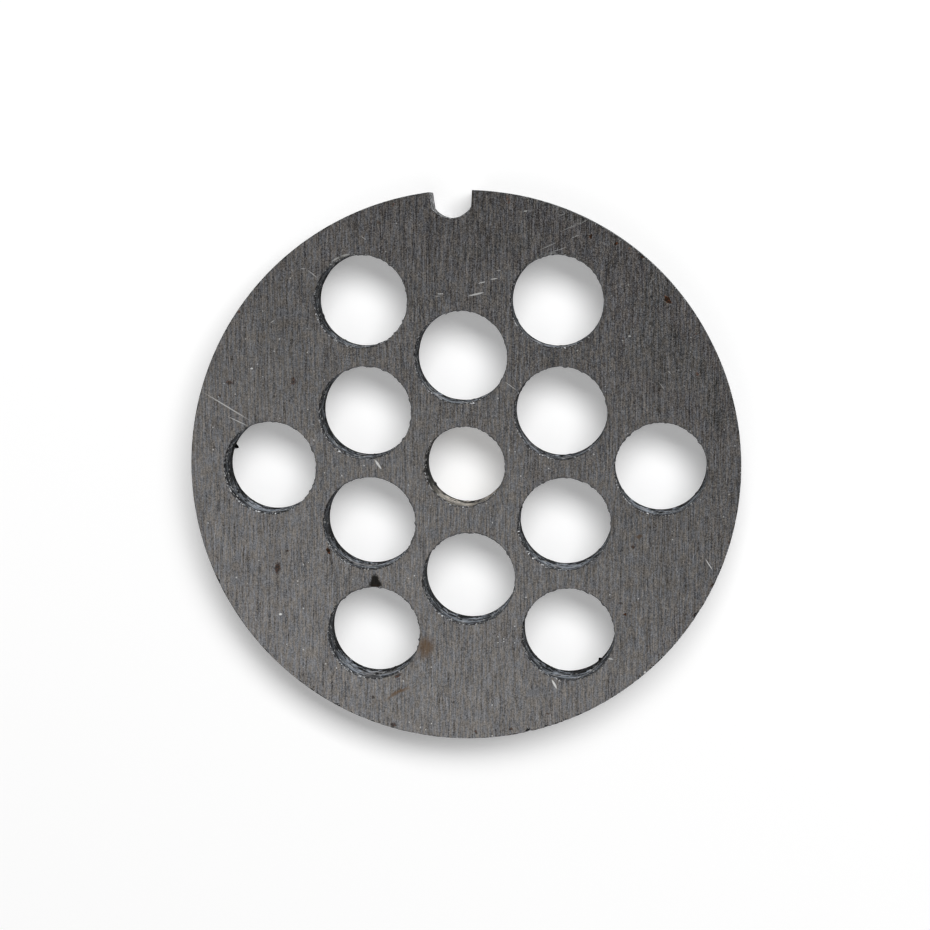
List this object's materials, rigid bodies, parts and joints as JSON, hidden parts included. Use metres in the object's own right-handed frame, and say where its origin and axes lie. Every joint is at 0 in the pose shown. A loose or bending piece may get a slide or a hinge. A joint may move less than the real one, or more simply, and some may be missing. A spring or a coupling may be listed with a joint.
{
  "type": "meat grinder plate",
  "caption": "Flat round steel grinder plate, drilled for coarse mincing, with a centre bore for the screw's stud and a rim notch that keys it in the barrel.",
  "frame": {"origin": "centre of the bore on the back face", "axes": "+Z along the bore, out of the face that the knife sweeps; +Y through the notch"},
  "size_m": [0.054, 0.0539, 0.005],
  "materials": {
    "ground_steel": "surface-ground carbon steel, unplated, with fine straight grain and specks of rust"
  },
  "bodies": {
    "root": {"grinder_plate": "ground_steel"}
  },
  "joints": []
}
